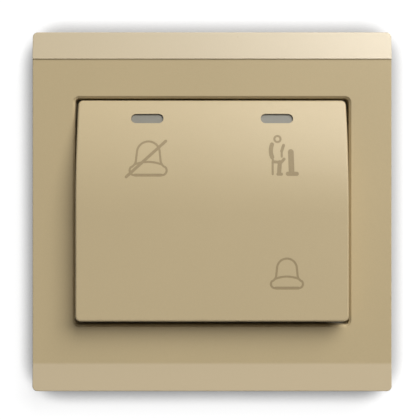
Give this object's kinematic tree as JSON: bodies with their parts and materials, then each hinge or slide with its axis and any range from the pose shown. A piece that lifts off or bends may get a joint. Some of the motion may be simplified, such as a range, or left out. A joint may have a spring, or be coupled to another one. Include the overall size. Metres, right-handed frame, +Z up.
{
  "type": "doorbell push button",
  "caption": "Square wall plate bell push: a clip-on frame round a sprung curved key with indicator windows, on a switch housing for a flush wall box.",
  "frame": {"origin": "midway between the two fixing screws, on the wall plane that the back of the yoke and the frame's rim touch", "axes": "+X to the right as the visitor sees it, +Z up, -Y out of the wall towards the visitor, +Y into the wall box"},
  "size_m": [0.086, 0.0367, 0.086],
  "materials": {
    "gold_paint": "champagne gold metallic paint on moulded plastic, satin",
    "lens": "translucent grey plastic, satin",
    "pictogram_paint": "dull bronze-gold ink",
    "yoke_plastic": "pale moulded plastic",
    "carrier_plastic": "off-white moulded plastic",
    "housing_plastic": "off-white flame-retardant plastic",
    "plated_steel": "zinc plated",
    "spring_steel": "drawn wire",
    "contact_bronze": "phosphor bronze sheet",
    "silver": "silver alloy",
    "brass": "turned and stamped brass",
    "board_laminate": "green solder mask on glass-fibre laminate",
    "led_epoxy": "diffused epoxy",
    "clear_plastic": "clear polished plastic",
    "component_body": "lacquered components"
  },
  "bodies": {
    "housing": {"frame_plate": "gold_paint", "mounting_yoke": "yoke_plastic", "fixing_screws": "plated_steel", "pivot_pin_left": "plated_steel", "pivot_pin_right": "plated_steel", "return_spring_left": "spring_steel", "return_spring_right": "spring_steel", "module_cover": "housing_plastic", "module_base": "housing_plastic", "housing_screws": "plated_steel", "contact_leaf": "contact_bronze", "fixed_contact": "silver", "leaf_rivet": "brass", "common_strip": "brass", "fixed_contact_strip": "brass", "terminal_bell_common": "brass", "terminal_bell_out": "brass", "terminal_lamp_left": "brass", "terminal_lamp_common": "brass", "terminal_lamp_right": "brass", "terminal_screws": "plated_steel", "circuit_board": "board_laminate", "board_screws": "plated_steel", "board_pins": "brass", "led_left": "led_epoxy", "led_right": "led_epoxy", "light_guide_left": "clear_plastic", "light_guide_right": "clear_plastic", "dropper_resistors": "component_body", "rectifier_diodes": "component_body"},
    "key": {"key_cover": "gold_paint", "key_carrier": "carrier_plastic", "indicator_lens_left": "lens", "indicator_lens_right": "lens", "pictogram_quiet": "pictogram_paint", "pictogram_service": "pictogram_paint", "pictogram_bell": "pictogram_paint"},
    "plunger": {"contact_plunger": "carrier_plastic"},
    "contact": {"moving_contact": "silver"}
  },
  "joints": [
    {"name": "key_press", "type": "hinge", "parent": "housing", "child": "key", "pos_m": [0, -0.0044, 0.021], "axis": [1, 0, 0], "range_deg": [0, 3.5], "stiffness_Nm_per_rad": 1.5, "springref_deg": -2.58, "deforming": ["return_spring_left", "return_spring_right"]},
    {"name": "plunger_slide", "type": "slide", "parent": "housing", "child": "plunger", "axis": [0, 1, 0], "range_m": [0, 0.00203]},
    {"name": "contact_close", "type": "hinge", "parent": "housing", "child": "contact", "pos_m": [-0.017, 0.00605, -0.012], "axis": [0, 0, 1], "range_deg": [0, 6.8], "deforming": ["contact_leaf"]}
  ],
  "couplings": [
    {"joint": "plunger_slide", "follows": "key_press", "m_per_rad": 0.033},
    {"joint": "contact_close", "follows": "key_press", "ratio": 1.9412}
  ]
}
